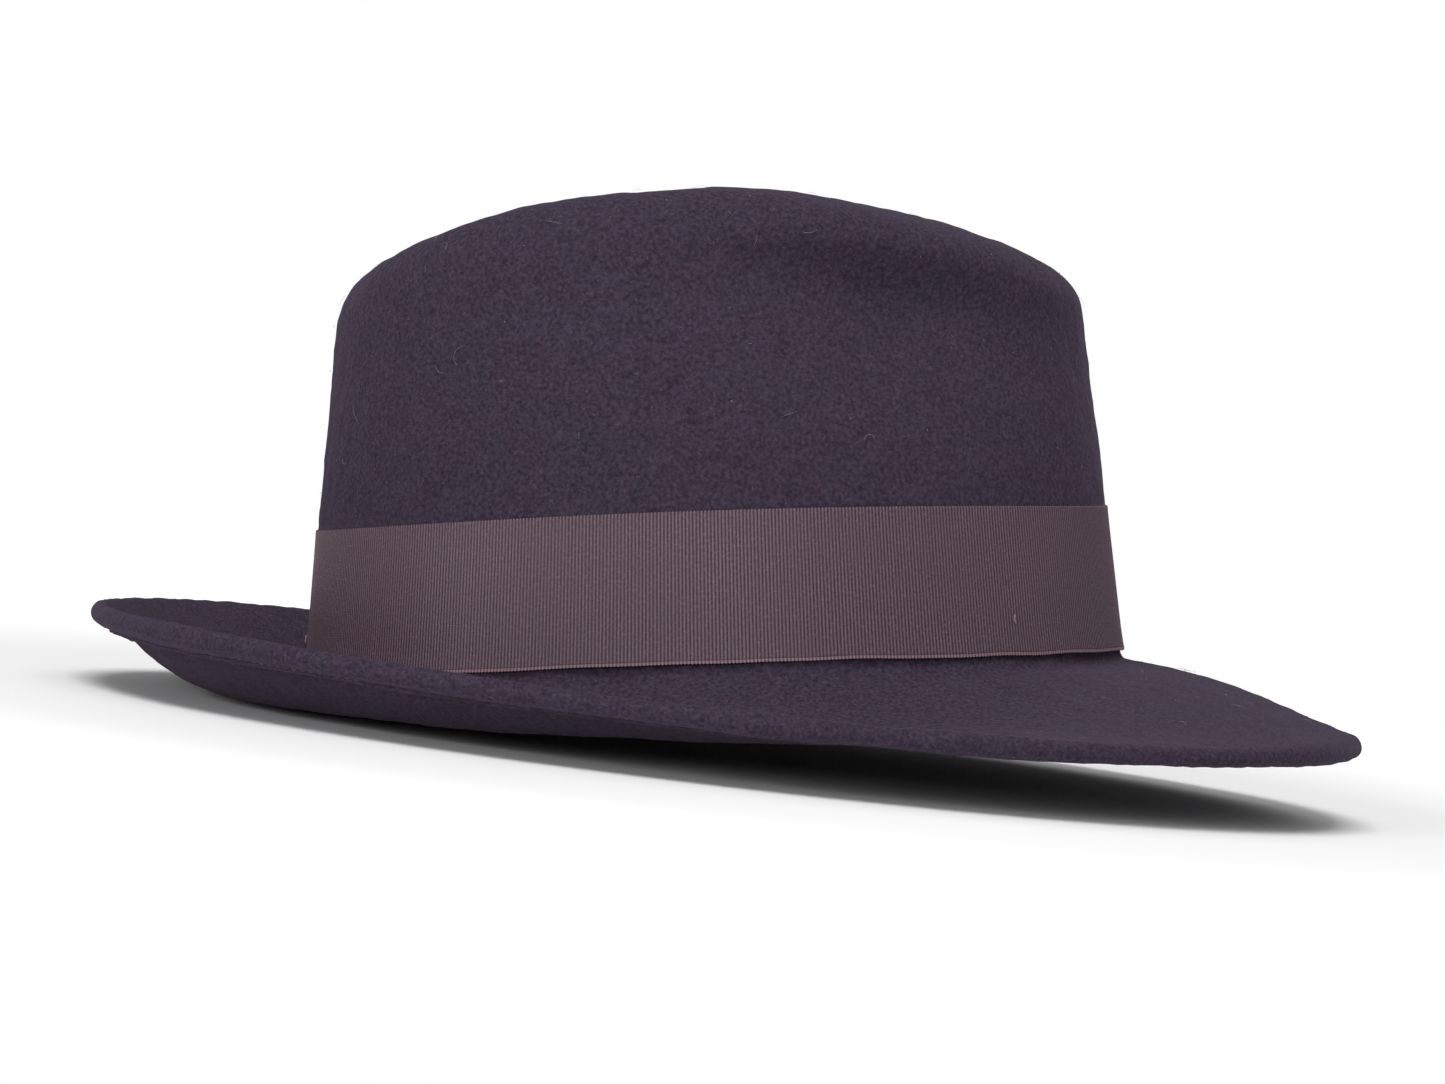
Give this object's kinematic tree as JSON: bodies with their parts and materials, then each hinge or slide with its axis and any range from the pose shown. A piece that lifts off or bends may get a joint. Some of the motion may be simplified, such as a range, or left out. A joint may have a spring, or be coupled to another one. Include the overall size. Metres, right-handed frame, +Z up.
{
  "type": "fedora hat",
  "caption": "Wool-felt fedora with a pinched teardrop crown, snapped brim, grosgrain band and flat side bow, leather sweatband and satin lining.",
  "frame": {"origin": "on the table that the hat rests on, below the middle of its box", "axes": "+X to the wearer's front, +Y to the wearer's left, where the bow is, +Z up; the hat rests on its brim with its nose tipped up"},
  "size_m": [0.3262, 0.2786, 0.1417],
  "materials": {
    "wool_felt": "matte",
    "grosgrain_ribbon": "matte",
    "sewing_thread": "matte",
    "sweatband_leather": "satin",
    "lining_satin": "satin",
    "reed_tape": "matte",
    "tag_cloth": "matte"
  },
  "bodies": {
    "root": {"felt_tip": "wool_felt", "felt_side": "wool_felt", "felt_brim": "wool_felt", "welt_stitching": "sewing_thread", "hatband": "grosgrain_ribbon", "bow_tails": "grosgrain_ribbon", "bow_loops": "grosgrain_ribbon", "bow_keeper": "grosgrain_ribbon", "hatband_tacks": "sewing_thread", "sweatband": "sweatband_leather", "sweatband_reed": "reed_tape", "sweatband_stitching": "sewing_thread", "sweatband_seam_tape": "sweatband_leather", "sweatband_bow": "reed_tape", "lining_side": "lining_satin", "lining_tip": "lining_satin", "lining_piping": "reed_tape", "size_tag": "tag_cloth"}
  },
  "joints": []
}
